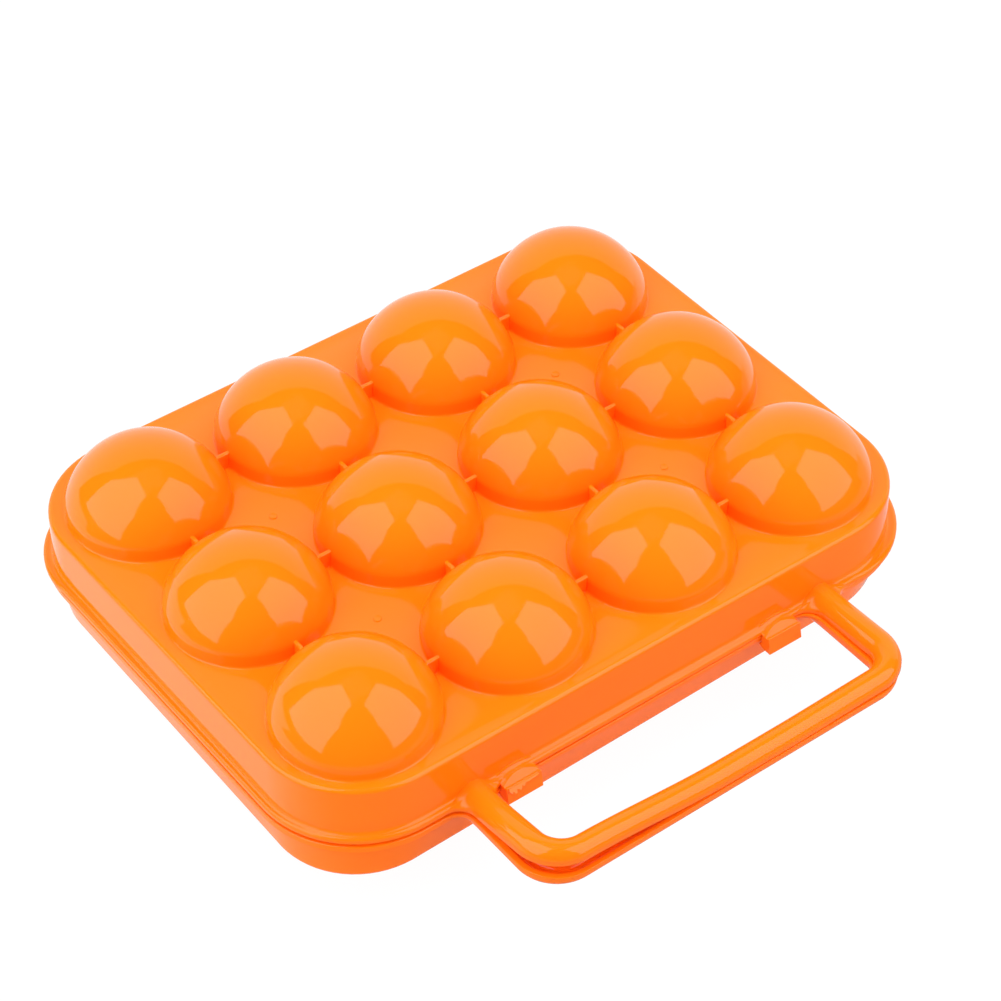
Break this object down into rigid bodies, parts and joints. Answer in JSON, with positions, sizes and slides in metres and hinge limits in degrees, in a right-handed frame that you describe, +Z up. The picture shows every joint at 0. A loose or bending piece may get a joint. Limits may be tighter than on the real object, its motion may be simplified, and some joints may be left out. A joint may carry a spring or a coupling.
{
  "type": "egg carrier",
  "caption": "Hinged two-shell plastic egg carrier: domed lid over a cupped tray, front snap latches and a carry handle split between the shells.",
  "frame": {"origin": "centre of the footprint, on the surface that the cups stand on", "axes": "+X along the row of cells, +Y from the handle to the hinges, +Z up"},
  "size_m": [0.2006, 0.1936, 0.0658],
  "materials": {
    "orange_plastic": "glossy moulded polypropylene, slightly translucent orange"
  },
  "bodies": {
    "tray_body": {"tray": "orange_plastic"},
    "lid_body": {"lid": "orange_plastic"}
  },
  "joints": [
    {"name": "lid_hinge", "type": "hinge", "parent": "tray_body", "child": "lid_body", "pos_m": [0, 0.09383, 0.02865], "axis": [-1, 0, 0], "range_deg": [0, 165]}
  ]
}
